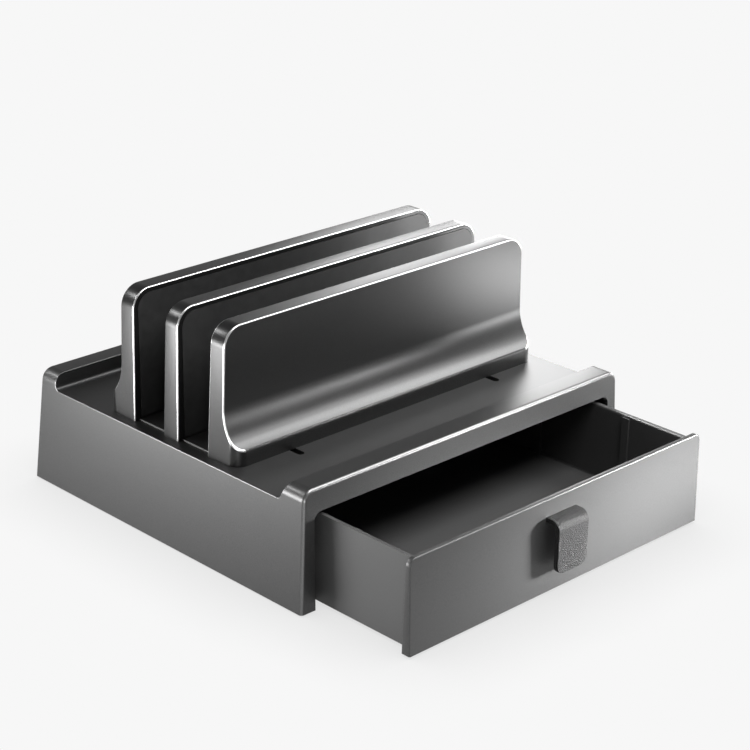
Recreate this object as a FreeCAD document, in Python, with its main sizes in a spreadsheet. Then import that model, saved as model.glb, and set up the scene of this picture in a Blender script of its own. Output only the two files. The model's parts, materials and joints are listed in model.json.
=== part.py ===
import FreeCAD, Part
import math
import os
import Sketcher

# Vertical laptop stand with a storage drawer. Three upright fins stand on the deck of a
# low housing and leave two slots between them. Millimetres, +Z up, the drawer faces -Y.
# The pieces are drawn about the middle fin and then moved together, so that the origin
# lies on the table below the middle of the whole outline.

# Driving sizes: cell alias, value, what it measures.
SIZES = [
    ("housing_width", 250.0, "across the housing at the top of its rims"),
    ("housing_depth", 226.5, "front to rear at the top of the rims"),
    ("housing_height", 70.1, "bottom edge to the top of the rims"),
    ("front_reach", 115.5, "middle fin to the housing's front face"),
    ("side_flare", 3.25, "how far each side leans out at the bottom"),
    ("front_flare", 2.0, "how far the front leans out at the bottom"),
    ("rear_flare", 6.5, "how far the rear leans out at the bottom"),
    ("rim_height", 9.8, "rims above the deck"),
    ("front_rim_width", 14.65, "front rim, across its top"),
    ("front_rim_slope", 4.35, "lean of the front rim's inner face"),
    ("rear_rim_width", 13.0, "rear rim, across its top"),
    ("rear_rim_slope", 0.7, "lean of the rear rim's inner face"),
    ("rim_end_round", 7.0, "roll-over at the ends of the rims"),
    ("rim_foot_fillet", 3.0, "hollow fillet between the deck and the rims"),
    ("corner_round", 2.0, "upright corners of the housing"),
    ("edge_bevel", 0.5, "small bevel along the housing's outer edges"),
    ("shell_wall", 3.0, "wall of the housing moulding"),
    ("opening_side", 7.0, "housing's side at the rims' top to the drawer opening"),
    ("front_beam", 13.9, "housing front above the drawer opening"),
    ("opening_round", 5.0, "upper corners of the drawer opening"),
    ("foot_standoff", 1.0, "rubber foot below the housing"),
    ("foot_recess", 0.6, "seat of a rubber foot in its land"),
    ("foot_length", 16.0, "rubber foot, front to rear"),
    ("foot_width", 9.0, "rubber foot, across"),
    ("land_thickness", 3.0, "corner land that carries a foot"),
    ("land_length", 20.0, "corner land, front to rear"),
    ("land_inset", 9.5, "housing face to the end of a land"),
    ("land_gap", 1.0, "tray wall to a corner land"),
    ("foot_inset", 6.3, "foot's centre from the land's inner edge"),
    ("fin_inset", 5.9, "housing's side at the rims' top to a fin's end"),
    ("fin_end_draft", 2.0, "lean of each fin end"),
    ("fin_height", 77.1, "fin above the deck"),
    ("fin_corner", 12.0, "upper corners of a fin"),
    ("fin_edge", 0.8, "bevelled edge of a fin"),
    ("middle_base", 12.8, "middle fin's thickness at the deck"),
    ("middle_lean", 1.2, "lean of each face of the middle fin"),
    ("slot_gap", 25.15, "laptop slot at the deck, fins at rest"),
    ("blade_base", 12.65, "outer fins' blade at the deck"),
    ("blade_lean", 1.5, "lean of an outer fin's inner face"),
    ("toe_reach", 11.3, "toe of an outer fin ahead of its blade"),
    ("toe_height", 9.1, "upright edge of the toe"),
    ("toe_sweep", 27.5, "radius of the sweep from blade to toe"),
    ("toe_corner", 8.0, "toe's rounded corners, seen from above"),
    ("fin_wall", 2.8, "wall of a hollow fin"),
    ("fin_travel", 24.0, "how far an outer fin slides outwards"),
    ("insert_spacing", 157.0, "between the two screws of a fin"),
    ("insert_radius", 2.8, "brass insert"),
    ("insert_length", 8.0, "brass insert"),
    ("insert_boss", 11.0, "solid width left around an insert"),
    ("screw_radius", 2.0, "fin screw, thread"),
    ("screw_length", 12.0, "fin screw below its head"),
    ("screw_head_radius", 3.8, "fin screw, head"),
    ("screw_head_height", 2.2, "fin screw, head"),
    ("fit_clearance", 0.05, "around a thread, an insert, a foot or a peg"),
    ("slot_clearance", 0.25, "between a screw and its slot"),
    ("pad_thickness", 1.2, "silicone pads"),
    ("pad_proud", 0.2, "fin pad beyond the fin's face"),
    ("pad_margin", 3.0, "pad's edge to the fin's edge"),
    ("pad_corner", 9.0, "upper corners of a fin pad"),
    ("pad_gap", 0.3, "around a pad and beside a moving piece"),
    ("panel_side_gap", 0.8, "drawer front's end to the side of the opening"),
    ("panel_bottom", 0.5, "drawer front above the housing's bottom edge"),
    ("panel_top_gap", 1.0, "drawer front below the top of the opening"),
    ("panel_top_thickness", 3.4, "drawer front at its top"),
    ("panel_rear_lean", 1.3, "lean of the drawer front's rear face"),
    ("panel_corner", 4.6, "upper corners of the drawer front"),
    ("panel_edge", 0.6, "bevelled edge of the drawer front"),
    ("panel_screw_inset", 15.0, "tray's side to a screw of the drawer front"),
    ("panel_screw_rise", 7.2, "tray floor to a screw of the drawer front"),
    ("drawer_open", 69.5, "how far the drawer stands open at rest"),
    ("tray_side_gap", 6.6, "tray wall to the side of the opening"),
    ("tray_depth", 203.6, "drawer tray, outside"),
    ("tray_bottom", 1.2, "tray's lower edge above the housing's bottom edge"),
    ("tray_top_gap", 3.2, "tray's upper edge below the top of the opening"),
    ("tray_wall", 3.0, "tray side and rear walls"),
    ("tray_front_wall", 2.2, "tray wall behind the drawer front"),
    ("tray_floor", 2.5, "tray floor"),
    ("tray_skirt", 3.8, "tray walls below the floor"),
    ("tray_top_round", 1.2, "rounded top of the tray walls"),
    ("tray_inner_round", 1.5, "tray, inner corners"),
    ("rib_width", 5.0, "upright rib inside the tray"),
    ("rib_proud", 1.3, "upright rib beyond the wall"),
    ("rib_pitch", 66.4, "from rib to rib"),
    ("rib_first", 43.2, "tray's front to the middle of the first rib"),
    ("rib_count", 3.0, "upright ribs on each side"),
    ("rail_height", 4.0, "slide rail on the tray"),
    ("rail_proud", 3.5, "slide rail beyond the tray wall"),
    ("rail_length", 127.0, "slide rail"),
    ("rail_level", 29.0, "rail's middle above the housing's bottom edge"),
    ("rail_clearance", 0.3, "between rail and runner"),
    ("runner_wall", 2.4, "runner web and flanges"),
    ("runner_front", 15.5, "housing front to the runner's front end"),
    ("runner_end", 2.5, "closed rear end of a runner"),
    ("post_width", 9.0, "square post of the housing behind a runner"),
    ("peg_length", 8.0, "peg that holds a runner, front to rear"),
    ("peg_height", 3.0, "peg that holds a runner"),
    ("post_pitch", 140.0, "from post to post"),
    ("post_first", 25.0, "runner's front end to the first post"),
    ("small_screw_radius", 1.25, "small screws, thread"),
    ("small_head_radius", 2.4, "small screws, head"),
    ("small_head_height", 1.4, "small screws, head"),
    ("stop_width", 120.0, "drawer stop below the deck"),
    ("stop_thickness", 3.0, "drawer stop"),
    ("stop_overlap", 2.0, "stop reaches below the tray's top edge"),
    ("drawer_travel", 73.7, "from rest to the drawer stop"),
    ("pull_width", 24.0, "leather pull"),
    ("pull_thickness", 3.0, "leather pull, both plies"),
    ("pull_offset", -2.5, "leather pull from the panel's middle"),
    ("pull_top_gap", 10.2, "pull's upper fold below the drawer front's top"),
    ("pull_drop", 31.0, "pull, upper fold to lower edge"),
    ("pull_standoff", 9.8, "pull's front ahead of the panel's top edge"),
    ("pull_bend", 6.0, "outer radius of the pull's fold"),
    ("pull_corner", 5.0, "lower corners of the pull"),
    ("pull_slit_gap", 0.2, "panel slit around the pull"),
    ("tail_drop", 15.0, "pull's tail behind the panel"),
    ("clamp_thickness", 1.5, "clamp plate"),
    ("clamp_width", 44.0, "clamp plate"),
    ("clamp_height", 12.0, "clamp plate"),
]

doc = FreeCAD.newDocument("laptop_stand")
sheet = doc.addObject("Spreadsheet::Sheet", "sizes")
for row, (alias, value, meaning) in enumerate(SIZES, start=1):
    sheet.set(f"A{row}", meaning)
    sheet.set(f"B{row}", str(value))
    sheet.setAlias(f"B{row}", alias)
doc.recompute()


class Size:
    """A length together with the expression that ties it to the sheet."""

    def __init__(self, value, text):
        self.value = float(value)
        self.text = text

    def __add__(self, other):
        other = as_size(other)
        return Size(self.value + other.value, f"({self.text} + {other.text})")

    def __sub__(self, other):
        other = as_size(other)
        return Size(self.value - other.value, f"({self.text} - {other.text})")

    def __mul__(self, other):
        other = as_size(other)
        return Size(self.value * other.value, f"({self.text} * {other.text})")

    def __truediv__(self, other):
        other = as_size(other)
        return Size(self.value / other.value, f"({self.text} / {other.text})")

    def __neg__(self):
        return Size(-self.value, f"(0 - {self.text})")


def as_size(number):
    if isinstance(number, Size):
        return number
    return Size(number, f"({float(number)})")


def size(alias):
    return Size(sheet.get(alias), f"sizes.{alias}")


def root(length):
    return Size(math.sqrt(length.value), f"sqrt({length.text})")


def between(start, end, share):
    """The length a share of the way from start to end."""
    return start + (end - start) * share


# Levels and faces that several pieces share.
base_z = size("foot_standoff")
rim_z = base_z + size("housing_height")
deck_z = rim_z - size("rim_height")
opening_z = rim_z - size("front_beam")
ceiling_z = deck_z - size("shell_wall")
front_y = -size("front_reach")
rear_y = front_y + size("housing_depth")
half_top = size("housing_width") / 2
half_base = half_top + size("side_flare")
opening_half = half_top - size("opening_side")
through = size("housing_depth") * 3
screw_x = size("insert_spacing") / 2
inner_y = size("middle_base") / 2 + size("slot_gap")
blade_y = inner_y + size("blade_base")
toe_y = blade_y + size("toe_reach")
fin_screw_y = (inner_y + blade_y) / 2
fin_top = deck_z + size("fin_height")
fin_half = half_top - size("fin_inset")
panel_face_y = front_y - size("drawer_open")
panel_base_z = base_z + size("panel_bottom")
panel_top_z = opening_z - size("panel_top_gap")
panel_half = opening_half - size("panel_side_gap")
panel_share = (panel_top_z - panel_base_z) / size("housing_height")
joint_top_y = panel_face_y + size("panel_top_thickness")
joint_base_y = joint_top_y + size("panel_rear_lean")
tray_half = opening_half - size("tray_side_gap")
tray_base_z = base_z + size("tray_bottom")
tray_top_z = opening_z - size("tray_top_gap")
tray_rear_y = joint_top_y + size("tray_depth")
floor_top_z = tray_base_z + size("tray_skirt") + size("tray_floor")
rail_z = base_z + size("rail_level")
rail_x = tray_half + size("rail_proud")
web_x = rail_x + size("rail_clearance")
post_x = web_x + size("runner_wall")
land_x = tray_half + size("land_gap")
outline_front_y = panel_face_y - size("pull_standoff")
outline_rear_y = rear_y + size("rear_flare")
frame_shift = -(outline_front_y + outline_rear_y) / 2


def half_width_at(level):
    """Outer half width of the housing at a level."""
    return between(half_base, half_top, (level - base_z) / size("housing_height"))


def joint_y_at(level):
    """The leaning plane between the drawer front and the tray."""
    share = (panel_top_z - level) / (panel_top_z - panel_base_z)
    return joint_top_y + size("panel_rear_lean") * share


# Sketch and feature helpers.
def new_body(name):
    body = doc.addObject("PartDesign::Body", name)
    body.Label = name
    body.AllowCompound = True
    return body


def origin_plane(body, role):
    return next(item for item in body.Origin.OriginFeatures if item.Role == role)


def new_sketch(body, name, role, shift=None, move=None, tilt=None):
    """A sketch on an origin plane; shift is along its normal, move and tilt within it."""
    sketch = body.newObject("Sketcher::SketchObject", name)
    sketch.AttachmentSupport = [(origin_plane(body, role), "")]
    sketch.MapMode = "FlatFace"
    if tilt is not None:
        flat = FreeCAD.Rotation(FreeCAD.Vector(1, 0, 0), 1)
        sketch.AttachmentOffset = FreeCAD.Placement(FreeCAD.Vector(), flat)
        sketch.setExpression(".AttachmentOffset.Rotation.Angle", tilt)
    if shift is not None:
        sketch.setExpression(".AttachmentOffset.Base.z", as_size(shift).text)
    if move is not None:
        sketch.setExpression(".AttachmentOffset.Base.x", as_size(move[0]).text)
        sketch.setExpression(".AttachmentOffset.Base.y", as_size(move[1]).text)
    return sketch


def bind(sketch, kind, where, length):
    index = sketch.addConstraint(Sketcher.Constraint(kind, *where, length.value))
    sketch.setExpression(f"Constraints[{index}]", length.text)


def arc_centre(start, end, radius, side):
    """Centre of the short arc; side +1 keeps it left of the way from start to end."""
    chord = end - start
    reach = math.sqrt(max(radius * radius - chord.Length * chord.Length / 4, 0.0))
    normal = FreeCAD.Vector(-chord.y, chord.x, 0).normalize()
    return (start + end) * 0.5 + normal * reach * side


def outline(sketch, corners):
    """Closed path. A corner is (across, up), or (across, up, radius, side) where an arc follows."""
    corners = [[as_size(c[0]), as_size(c[1]), *c[2:]] for c in corners]
    points = [FreeCAD.Vector(c[0].value, c[1].value, 0) for c in corners]
    ends = []
    for index, corner in enumerate(corners):
        start = points[index]
        end = points[(index + 1) % len(points)]
        if len(corner) == 2:
            piece = sketch.addGeometry(Part.LineSegment(start, end), False)
            ends.append((piece, 1, 2))
            continue
        radius = as_size(corner[2])
        side = corner[3]
        centre = arc_centre(start, end, radius.value, side)
        circle = Part.Circle(centre, FreeCAD.Vector(0, 0, 1), radius.value)
        angles = [math.atan2(p.y - centre.y, p.x - centre.x) for p in (start, end)]
        if side < 0:
            angles.reverse()
        piece = sketch.addGeometry(Part.ArcOfCircle(circle, *angles), False)
        ends.append((piece, 1, 2) if side > 0 else (piece, 2, 1))
        bind(sketch, "Radius", (piece,), radius)
    for index, (piece, first, last) in enumerate(ends):
        following = ends[(index + 1) % len(ends)]
        joined = Sketcher.Constraint("Coincident", piece, last, following[0], following[1])
        sketch.addConstraint(joined)
        bind(sketch, "DistanceX", (-1, 1, piece, first), corners[index][0])
        bind(sketch, "DistanceY", (-1, 1, piece, first), corners[index][1])
    return sketch


def rectangle(sketch, left, low, right, high):
    return outline(sketch, [(left, low), (right, low), (right, high), (left, high)])


def circle(sketch, across, up, radius):
    across, up, radius = as_size(across), as_size(up), as_size(radius)
    centre = FreeCAD.Vector(across.value, up.value, 0)
    ring = Part.Circle(centre, FreeCAD.Vector(0, 0, 1), radius.value)
    piece = sketch.addGeometry(ring, False)
    bind(sketch, "Radius", (piece,), radius)
    bind(sketch, "DistanceX", (-1, 1, piece, 3), across)
    bind(sketch, "DistanceY", (-1, 1, piece, 3), up)
    return sketch


def long_hole(sketch, across, low, high, radius):
    """A slotted hole along the sketch's vertical, between two arc centres."""
    up = FreeCAD.Vector(0, 0, 1)
    top = FreeCAD.Vector(across.value, high.value, 0)
    bottom = FreeCAD.Vector(across.value, low.value, 0)
    side = FreeCAD.Vector(radius.value, 0, 0)
    sketch.addGeometry(Part.ArcOfCircle(Part.Circle(top, up, radius.value), 0, math.pi), False)
    sketch.addGeometry(Part.LineSegment(top - side, bottom - side), False)
    lower = Part.ArcOfCircle(Part.Circle(bottom, up, radius.value), math.pi, 2 * math.pi)
    sketch.addGeometry(lower, False)
    sketch.addGeometry(Part.LineSegment(bottom + side, top + side), False)
    for index in range(4):
        sketch.addConstraint(Sketcher.Constraint("Tangent", index, 2, (index + 1) % 4, 1))
    sketch.addConstraint(Sketcher.Constraint("Equal", 0, 2))
    bind(sketch, "Radius", (0,), radius)
    for piece, level in ((0, high), (2, low)):
        bind(sketch, "DistanceX", (-1, 1, piece, 3), across)
        bind(sketch, "DistanceY", (-1, 1, piece, 3), level)
    return sketch


def pad(body, sketch, length, symmetric=False, reverse=False):
    feature = body.newObject("PartDesign::Pad", f"{sketch.Name}_pad")
    feature.Profile = sketch
    if symmetric:
        feature.SideType = "Symmetric"
    feature.Reversed = reverse
    feature.setExpression("Length", as_size(length).text)
    doc.recompute()
    return feature


def pocket(body, sketch, length, symmetric=False, reverse=False):
    before = body.Shape.Volume
    feature = body.newObject("PartDesign::Pocket", f"{sketch.Name}_cut")
    feature.Profile = sketch
    if symmetric:
        feature.SideType = "Symmetric"
    feature.Reversed = reverse
    feature.setExpression("Length", as_size(length).text)
    doc.recompute()
    if body.Shape.Volume > before - 1e-3:
        raise RuntimeError(f"{sketch.Name} cuts nothing")
    return feature


def loft_cut(body, name, lower, upper):
    before = body.Shape.Volume
    feature = body.newObject("PartDesign::SubtractiveLoft", name)
    feature.Profile = lower
    feature.Sections = [upper]
    feature.Ruled = True
    doc.recompute()
    if body.Shape.Volume > before - 1e-3:
        raise RuntimeError(f"{name} cuts nothing")
    return feature


def turned(body, sketch):
    feature = body.newObject("PartDesign::Revolution", f"{sketch.Name}_turned")
    feature.Profile = sketch
    feature.ReferenceAxis = (sketch, ["V_Axis"])
    feature.Angle = 360
    doc.recompute()
    return feature


def worked_edges(body, kind, measure, name, test, length):
    """Works every edge of the body that passes the test on its bounding box."""
    base = body.Tip
    chosen = []
    for index, edge in enumerate(base.Shape.Edges, start=1):
        if test(edge):
            chosen.append(f"Edge{index}")
    if not chosen:
        raise RuntimeError(f"{name} finds no edge")
    feature = body.newObject(f"PartDesign::{kind}", name)
    feature.Base = (base, chosen)
    feature.setExpression(measure, as_size(length).text)
    doc.recompute()
    return feature


def rounded(body, name, test, radius):
    return worked_edges(body, "Fillet", "Radius", name, test, radius)


def bevelled(body, name, test, width):
    return worked_edges(body, "Chamfer", "Size", name, test, width)


def near(first, second, slack=0.05):
    return abs(first - as_size(second).value) < slack


def along_y(edge):
    box = edge.BoundBox
    return box.YLength > 4 * max(box.XLength, box.ZLength)


def along_x(edge):
    box = edge.BoundBox
    return box.XLength > 4 * max(box.YLength, box.ZLength)


def upright(edge):
    box = edge.BoundBox
    return box.ZLength > 4 * max(box.XLength, box.YLength)


# The housing: one moulding, open below, with a deck between two raised rims.
def build_housing():
    body = new_body("base_housing")
    wall = size("shell_wall")
    side = outline(new_sketch(body, "housing_side", "YZ_Plane"), [
        (front_y - size("front_flare"), base_z),
        (rear_y + size("rear_flare"), base_z),
        (rear_y, rim_z),
        (rear_y - size("rear_rim_width"), rim_z),
        (rear_y - size("rear_rim_width") - size("rear_rim_slope"), deck_z),
        (front_y + size("front_rim_width") + size("front_rim_slope"), deck_z),
        (front_y + size("front_rim_width"), rim_z),
        (front_y, rim_z),
    ])
    pad(body, side, half_base * 2, symmetric=True)
    for name, sign in (("left", -1), ("right", 1)):
        flank = outline(new_sketch(body, f"housing_{name}_flank", "XZ_Plane"), [
            (half_base * sign, base_z),
            ((half_base + wall) * sign, base_z),
            ((half_base + wall) * sign, rim_z),
            (half_top * sign, rim_z),
        ])
        pocket(body, flank, through, symmetric=True)

    rounded(body, "rim_ends", lambda e: along_y(e) and near(e.BoundBox.ZMax, rim_z)
            and near(abs(e.BoundBox.Center.x), half_top), size("rim_end_round"))
    rounded(body, "rim_feet", lambda e: along_x(e) and near(e.BoundBox.ZMax, deck_z)
            and near(e.BoundBox.ZMin, deck_z), size("rim_foot_fillet"))
    tall = size("housing_height").value / 2
    rounded(body, "housing_corners", lambda e: upright(e) and e.BoundBox.ZLength > tall,
            size("corner_round"))

    build_housing_inside(body)
    build_housing_details(body)
    return body


def build_housing_inside(body):
    wall = size("shell_wall")
    share = (ceiling_z - base_z) / size("housing_height")
    lower = rectangle(
        new_sketch(body, "cavity_mouth", "XY_Plane", shift=base_z),
        wall - half_base, front_y - size("front_flare") + wall,
        half_base - wall, rear_y + size("rear_flare") - wall,
    )
    ceiling_half = half_width_at(ceiling_z) - wall
    upper = rectangle(
        new_sketch(body, "cavity_ceiling", "XY_Plane", shift=ceiling_z),
        -ceiling_half, front_y - size("front_flare") * (as_size(1) - share) + wall,
        ceiling_half, rear_y + size("rear_flare") * (as_size(1) - share) - wall,
    )
    loft_cut(body, "cavity", lower, upper)

    hollows = {
        "front_rim_hollow": (front_y + wall, front_y + size("front_rim_width") - wall),
        "rear_rim_hollow": (rear_y - size("rear_rim_width") + wall, rear_y - wall),
    }
    for name, (near_y, far_y) in hollows.items():
        hollow = rectangle(new_sketch(body, name, "XY_Plane", shift=ceiling_z),
                           -opening_half, near_y, opening_half, far_y)
        pocket(body, hollow, rim_z - wall - ceiling_z, reverse=True)

    corner = size("opening_round")
    clear = size("front_flare") + wall
    opening = outline(
        new_sketch(body, "drawer_opening", "XZ_Plane", shift=-front_y + clear), [
            (-opening_half, base_z - wall),
            (opening_half, base_z - wall),
            (opening_half, opening_z - corner, corner, 1),
            (opening_half - corner, opening_z),
            (corner - opening_half, opening_z, corner, 1),
            (-opening_half, opening_z - corner),
        ])
    pocket(body, opening, clear + wall * 2)


def build_housing_details(body):
    wall = size("shell_wall")
    outer = half_base - wall / 2
    front = front_y + size("land_inset") - size("front_flare")
    rear = rear_y + size("rear_flare") - size("land_inset")
    for sign in (-1, 1):
        side = "left" if sign < 0 else "right"
        for end, low_y in (("front", front), ("rear", rear - size("land_length"))):
            land = outline(new_sketch(body, f"{end}_{side}_land", "XY_Plane", shift=base_z), [
                (land_x * sign, low_y),
                (outer * sign, low_y),
                (outer * sign, low_y + size("land_length")),
                (land_x * sign, low_y + size("land_length")),
            ])
            pad(body, land, size("land_thickness"))
    for x, y, name in foot_places():
        seat = foot_outline(new_sketch(body, f"{name}_seat", "XY_Plane", shift=base_z),
                            x, y, size("fit_clearance"))
        pocket(body, seat, size("foot_recess"), reverse=True)

    stop_y = drawer_stop_y()
    stop_z = tray_top_z - size("stop_overlap")
    stop = rectangle(new_sketch(body, "drawer_stop", "XY_Plane", shift=stop_z),
                     -size("stop_width") / 2, stop_y - size("stop_thickness"),
                     size("stop_width") / 2, stop_y)
    pad(body, stop, ceiling_z - stop_z + wall / 2)

    for sign in (-1, 1):
        side = "left" if sign < 0 else "right"
        for index, y in enumerate(post_places()):
            name = f"{side}_post_{index + 1}"
            half = size("post_width") / 2
            post = rectangle(new_sketch(body, name, "YZ_Plane", shift=post_x * sign),
                             y - half, rail_z - half, y + half, rail_z + half)
            pad(body, post, half_width_at(rail_z) - wall / 2 - post_x, reverse=sign < 0)
            peg = peg_outline(new_sketch(body, f"{name}_peg", "YZ_Plane", shift=post_x * sign),
                              y, as_size(0))
            pad(body, peg, size("runner_wall") - size("fit_clearance"), reverse=sign > 0)

    bore_radius = size("screw_radius") + size("slot_clearance")
    for x_sign in (-1, 1):
        side = "left" if x_sign < 0 else "right"
        hole = circle(new_sketch(body, f"middle_{side}_hole", "XY_Plane", shift=deck_z),
                      screw_x * x_sign, as_size(0), bore_radius)
        pocket(body, hole, wall * 2)
        for y_sign in (-1, 1):
            end = "front" if y_sign < 0 else "rear"
            inner = fin_screw_y * y_sign
            outer_end = (fin_screw_y + size("fin_travel")) * y_sign
            low, high = (outer_end, inner) if y_sign < 0 else (inner, outer_end)
            slot = new_sketch(body, f"{end}_{side}_slot", "XY_Plane", shift=deck_z)
            long_hole(slot, screw_x * x_sign, low, high, bore_radius)
            pocket(body, slot, wall * 2)

    bevelled(body, "housing_edges", outer_top_edge, size("edge_bevel"))


def outer_top_edge(edge):
    """Long outer edges at the rims' tops and along the deck's sides."""
    box = edge.BoundBox
    wide = box.XLength > half_top.value
    deep = box.YLength > half_top.value
    rim_edge = along_x(edge) and wide and near(box.ZMin, rim_z)
    deck_side = near(box.ZMax, deck_z) and near(box.ZMin, deck_z) and along_y(edge)
    at_side = near(abs(box.Center.x), half_width_at(deck_z), 0.3)
    return rim_edge or (deck_side and at_side and deep)


def foot_places():
    """Centres of the four feet on the housing's corner lands."""
    x = land_x + size("foot_inset")
    front = front_y + size("land_inset") - size("front_flare") + size("land_length") / 2
    rear = rear_y + size("rear_flare") - size("land_inset") - size("land_length") / 2
    return [
        (-x, front, "front_left_foot"),
        (x, front, "front_right_foot"),
        (-x, rear, "rear_left_foot"),
        (x, rear, "rear_right_foot"),
    ]


def foot_outline(sketch, x, y, gap):
    """A foot seen from below, widened by a gap."""
    across = size("foot_width") / 2 + gap
    along = size("foot_length") / 2 + gap
    return rectangle(sketch, x - across, y - along, x + across, y + along)


def post_places():
    """Where the posts that carry a runner stand, front to rear."""
    first = front_y + size("runner_front") + size("post_first")
    return [first, first + size("post_pitch")]


def peg_outline(sketch, y, gap):
    """A peg seen from the side, widened by a gap."""
    along = size("peg_length") / 2 + gap
    up = size("peg_height") / 2 + gap
    return rectangle(sketch, y - along, rail_z - up, y + along, rail_z + up)


def drawer_stop_y():
    """Rear face of the drawer stop, where the tray's rear wall meets it."""
    inner_rear = tray_rear_y - size("tray_wall")
    return inner_rear - size("drawer_travel") - size("pad_gap")


def build_feet():
    body = new_body("rubber_feet")
    for x, y, name in foot_places():
        foot = foot_outline(new_sketch(body, name, "XY_Plane"), x, y, as_size(0))
        pad(body, foot, size("foot_standoff") + size("foot_recess"))
    return body


# The runners: channels with a closed rear end, open towards the tray.
def runner_rear_y():
    closed_rail = tray_rear_y + size("drawer_open")
    return closed_rail + size("rail_clearance") + size("runner_end")


def build_runner(name, sign):
    body = new_body(name)
    front = front_y + size("runner_front")
    rear = runner_rear_y()
    half = size("rail_height") / 2 + size("rail_clearance") + size("runner_wall")
    lip_x = tray_half + size("pad_gap") * 2
    block = outline(new_sketch(body, f"{name}_block", "XZ_Plane", shift=-front), [
        (lip_x * sign, rail_z - half),
        (post_x * sign, rail_z - half),
        (post_x * sign, rail_z + half),
        (lip_x * sign, rail_z + half),
    ])
    pad(body, block, rear - front, reverse=True)
    inner = size("rail_height") / 2 + size("rail_clearance")
    channel = outline(new_sketch(body, f"{name}_channel", "XZ_Plane", shift=-front), [
        (lip_x * sign, rail_z - inner),
        (web_x * sign, rail_z - inner),
        (web_x * sign, rail_z + inner),
        (lip_x * sign, rail_z + inner),
    ])
    pocket(body, channel, rear - front - size("runner_end"))
    for index, y in enumerate(post_places()):
        hole = peg_outline(
            new_sketch(body, f"{name}_hole_{index + 1}", "YZ_Plane", shift=web_x * sign),
            y, size("fit_clearance"))
        pocket(body, hole, size("runner_wall") * 2, reverse=sign > 0)
    return body


# The fins. A fin's outline is drawn from three sides: its plan, its end and its face.
def fin_ends(body, name, reach):
    """Leaning ends with rounded upper corners."""
    top_half = fin_half - size("fin_end_draft")
    for side, sign in (("left", -1), ("right", 1)):
        waste = outline(new_sketch(body, f"{name}_{side}_end", "XZ_Plane"), [
            (fin_half * sign, deck_z),
            ((fin_half + reach) * sign, deck_z),
            ((fin_half + reach) * sign, fin_top),
            (top_half * sign, fin_top),
        ])
        pocket(body, waste, through, symmetric=True)
    rounded(body, f"{name}_corners", lambda e: along_y(e) and near(e.BoundBox.ZMax, fin_top)
            and near(abs(e.BoundBox.Center.x), top_half), size("fin_corner"))


def fin_core(body, name, low_y, high_y, hole_y):
    """Hollows from below between the solid bosses, and the bores of the inserts."""
    half = fin_half - size("fin_end_draft") - size("fin_wall")
    boss = size("insert_boss") / 2
    depth = size("fin_height") - size("fin_wall")
    spans = [
        (-half + size("fin_corner"), -screw_x - boss),
        (boss - screw_x, screw_x - boss),
        (screw_x + boss, half - size("fin_corner")),
    ]
    for index, (left, right) in enumerate(spans):
        core = rectangle(new_sketch(body, f"{name}_core_{index + 1}", "XY_Plane", shift=deck_z),
                         left, low_y, right, high_y)
        pocket(body, core, depth, reverse=True)
    for side, sign in (("left", -1), ("right", 1)):
        bore = circle(new_sketch(body, f"{name}_{side}_bore", "XY_Plane", shift=deck_z),
                      screw_x * sign, hole_y, size("insert_radius") + size("fit_clearance"))
        pocket(body, bore, size("screw_length"), reverse=True)


def face_plane(body, name, face_y, lean, facing):
    """A sketch on a fin's leaning inner face; its up runs along the face."""
    angle = f"atan({lean.text} / {size('fin_height').text}) * {facing}"
    return new_sketch(body, name, "XZ_Plane", shift=-face_y, move=(as_size(0), deck_z), tilt=angle)


def pad_outline(sketch, gap):
    """The pad's outline; gap widens it to the recess that holds it."""
    half = fin_half - size("fin_end_draft") - size("pad_margin") + gap
    low = size("pad_thickness") + size("pad_gap") - gap
    high = size("fin_height") - size("pad_margin") + gap
    corner = size("pad_corner") + gap
    return outline(sketch, [
        (-half, low),
        (half, low),
        (half, high - corner, corner, 1),
        (half - corner, high),
        (corner - half, high, corner, 1),
        (-half, high - corner),
    ])


def pad_recess(body, name, face_y, lean, facing):
    """Recess in the face that looks along facing (+1 is +Y)."""
    sketch = face_plane(body, f"{name}_recess", face_y, lean, facing)
    pad_outline(sketch, size("pad_gap"))
    pocket(body, sketch, size("pad_thickness") - size("pad_proud"), reverse=facing > 0)


def build_face_pad(name, face_y, lean, facing):
    body = new_body(name)
    sketch = face_plane(body, f"{name}_outline", face_y, lean, facing)
    pad_outline(sketch, as_size(0))
    depth = size("pad_thickness")
    feature = pad(body, sketch, depth, reverse=facing < 0)
    feature.SideType = "Two sides"
    feature.setExpression("Length", size("pad_proud").text)
    feature.setExpression("Length2", (depth - size("pad_proud")).text)
    feature.Reversed = facing > 0
    doc.recompute()
    return body


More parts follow.
